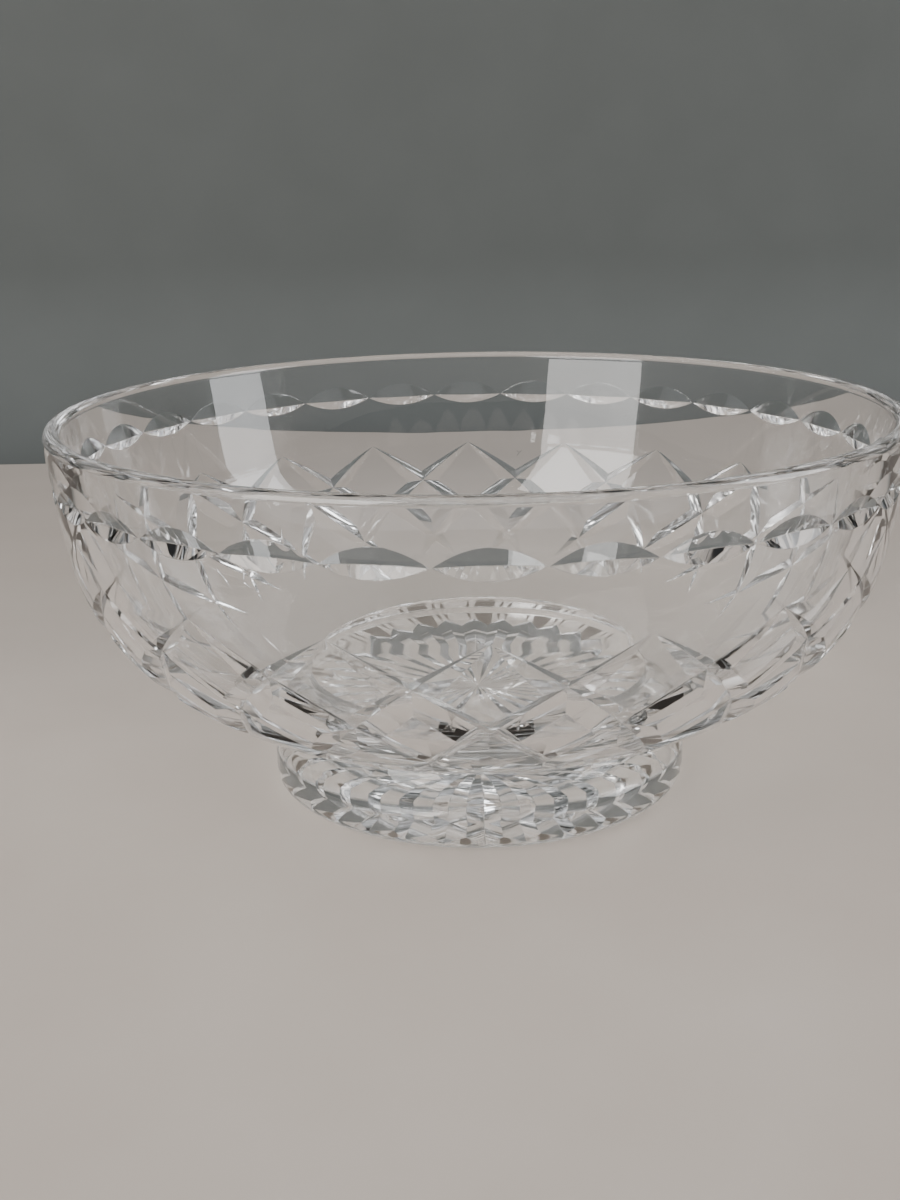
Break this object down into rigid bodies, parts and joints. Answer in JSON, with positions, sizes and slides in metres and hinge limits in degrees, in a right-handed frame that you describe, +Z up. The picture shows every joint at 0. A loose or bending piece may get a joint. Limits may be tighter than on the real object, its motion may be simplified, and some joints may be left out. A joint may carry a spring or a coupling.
{
  "type": "punch bowl",
  "caption": "Round footed punch bowl in clear cut glass, with a ring of lens cuts under a rounded lip, a band of diagonal mitre cuts and a star-cut foot.",
  "frame": {"origin": "centre of the foot, on the plane of the ring that the bowl stands on", "axes": "+Z up along the axis of the bowl; -Y faces a diamond peak and the middle of a lens cut; +X to the right seen from that side"},
  "size_m": [0.25, 0.25, 0.115],
  "materials": {
    "bowl_glass": "clear polished crystal, cuts acid polished, fine wear scratches outside",
    "foot_glass": "clear polished crystal, resting ring lightly ground by use"
  },
  "bodies": {
    "root": {"bowl": "bowl_glass", "foot": "foot_glass"}
  },
  "joints": []
}
